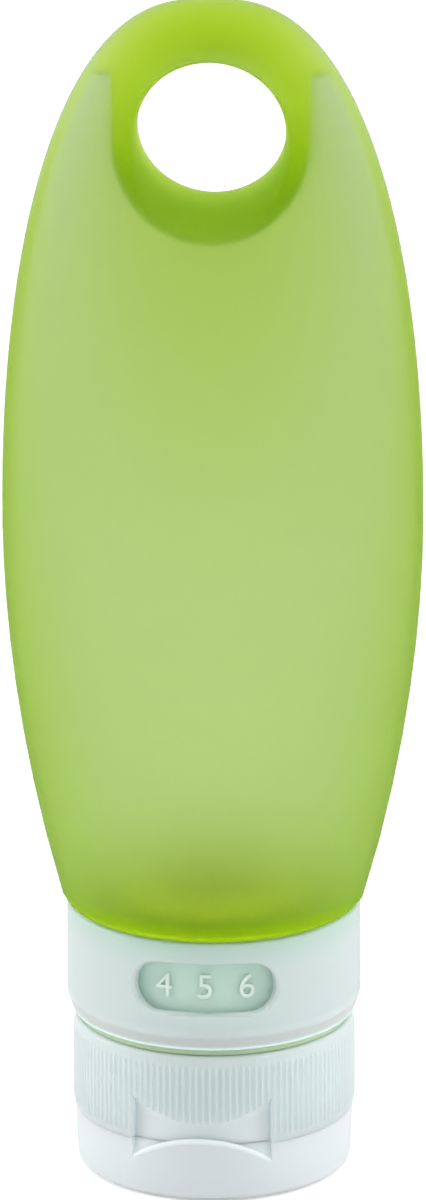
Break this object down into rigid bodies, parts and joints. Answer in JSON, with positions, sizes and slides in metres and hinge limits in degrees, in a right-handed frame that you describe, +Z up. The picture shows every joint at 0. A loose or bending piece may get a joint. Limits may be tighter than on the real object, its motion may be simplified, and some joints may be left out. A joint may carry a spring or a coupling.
{
  "type": "squeeze bottle",
  "caption": "Soft travel squeeze bottle with a hanging hole, a windowed collar over a numbered dial, and a screw cap with a slit valve and flip lid.",
  "frame": {"origin": "centre of the flip lid's flat outer face, on the ground, as the bottle stands upside down on its lid", "axes": "+Z up along the bottle, from the lid to the hanging hole; -Y towards the viewer, out of the thumb notch and the dial's window; +X to the viewer's right"},
  "size_m": [0.0528, 0.0386, 0.153],
  "materials": {
    "green_silicone": "translucent, matte",
    "green_plastic": "translucent, satin",
    "frosted_plastic": "translucent, frosted",
    "clear_silicone": "translucent, satin",
    "white_plastic": "satin"
  },
  "bodies": {
    "bottle": {"bottle_body": "green_silicone", "neck_insert": "green_plastic", "label_ring": "white_plastic"},
    "collar": {"collar": "frosted_plastic"},
    "cap_slide": {"cap_seal": "clear_silicone"},
    "cap": {"cap_base": "frosted_plastic", "valve": "clear_silicone", "valve_retainer": "white_plastic", "hinge_strap": "frosted_plastic"},
    "lid": {"flip_lid": "frosted_plastic"}
  },
  "joints": [
    {"name": "collar_turn", "type": "hinge", "parent": "bottle", "child": "collar", "pos_m": [0, 0, 0.0205], "axis": [0, 0, 1], "continuous": true},
    {"name": "cap_lift", "type": "slide", "parent": "bottle", "child": "cap_slide", "axis": [0, 0, -1], "range_m": [0, 0.0072]},
    {"name": "cap_turn", "type": "hinge", "parent": "cap_slide", "child": "cap", "pos_m": [0, 0, 0.0075], "axis": [0, 0, -1], "range_deg": [0, 800]},
    {"name": "lid_hinge", "type": "hinge", "parent": "cap", "child": "lid", "pos_m": [0.00093, 0.01833, 0.00735], "axis": [0.9987, -0.0506, 0], "range_deg": [0, 180], "deforming": ["hinge_strap"]}
  ],
  "couplings": [
    {"joint": "cap_lift", "follows": "cap_turn", "m_per_rad": 0.00050929}
  ]
}
